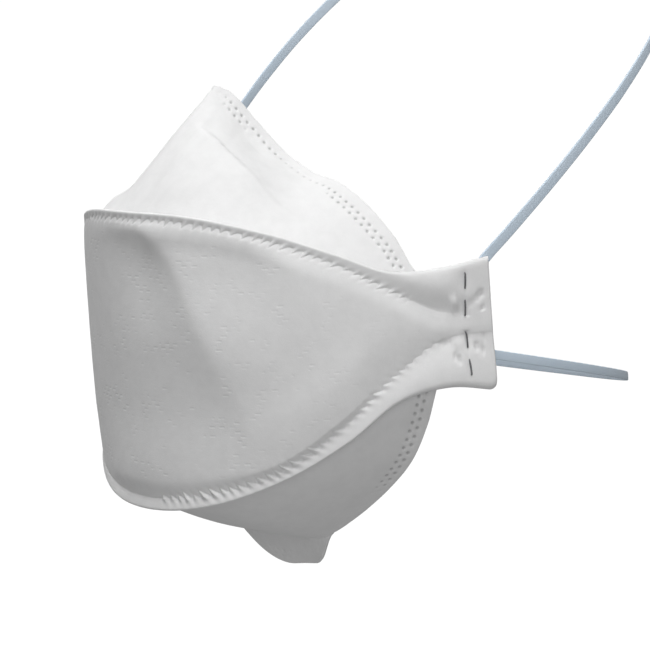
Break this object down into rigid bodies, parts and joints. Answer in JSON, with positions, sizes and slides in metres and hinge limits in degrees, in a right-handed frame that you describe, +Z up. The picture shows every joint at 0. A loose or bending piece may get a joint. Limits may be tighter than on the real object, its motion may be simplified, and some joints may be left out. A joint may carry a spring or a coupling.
{
  "type": "disposable respirator",
  "caption": "Flat-fold filtering respirator opened as worn: welded front, nose and chin panels with a chin pull tab, and stapled crown and neck straps.",
  "frame": {"origin": "middle of the face seat: halfway between the two tab ends, at mid height of the front panel", "axes": "+X to the wearer's left, -Y straight ahead of the wearer, +Z up"},
  "size_m": [0.155, 0.1881, 0.1925],
  "materials": {
    "cover": "matte white spunbond nonwoven, point bonded, with welded seams",
    "elastic": "flat pale blue-grey braided elastic, stretched",
    "staple": "plain steel staple wire, slightly worn"
  },
  "bodies": {
    "root": {"front_panel": "cover", "nose_panel": "cover", "chin_panel": "cover", "crown_strap": "elastic", "neck_strap": "elastic", "crown_staple_left": "staple", "crown_staple_right": "staple", "neck_staple_left": "staple", "neck_staple_right": "staple"}
  },
  "joints": []
}
